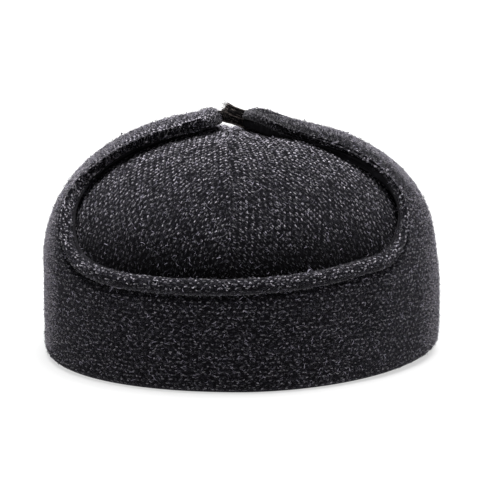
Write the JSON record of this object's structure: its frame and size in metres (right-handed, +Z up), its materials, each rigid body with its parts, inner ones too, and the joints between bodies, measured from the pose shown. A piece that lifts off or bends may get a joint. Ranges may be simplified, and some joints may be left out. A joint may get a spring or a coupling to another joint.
{
  "type": "earflap flat cap",
  "caption": "Wool tweed flat cap with a seamed crown, a front peak and lined ear flaps that are turned up and tied over the top.",
  "frame": {"origin": "middle of the whole cap's length and width, on the surface that it rests on", "axes": "+Z up, +Y towards the peak, +X to the wearer's right"},
  "size_m": [0.1902, 0.2552, 0.1223],
  "materials": {
    "tweed": "charcoal wool tweed with light flecks, matt and slightly fuzzy",
    "lining": "smooth black lining cloth, matt",
    "tape": "black woven tape, slightly brown, frayed at its cut end"
  },
  "bodies": {
    "root": {"crown_left": "tweed", "crown_right": "tweed", "ear_flap_band": "tweed", "peak": "tweed", "flap_lining": "lining", "tie_knot": "tape", "tie_cord": "tape", "tie_end": "tape"}
  },
  "joints": []
}
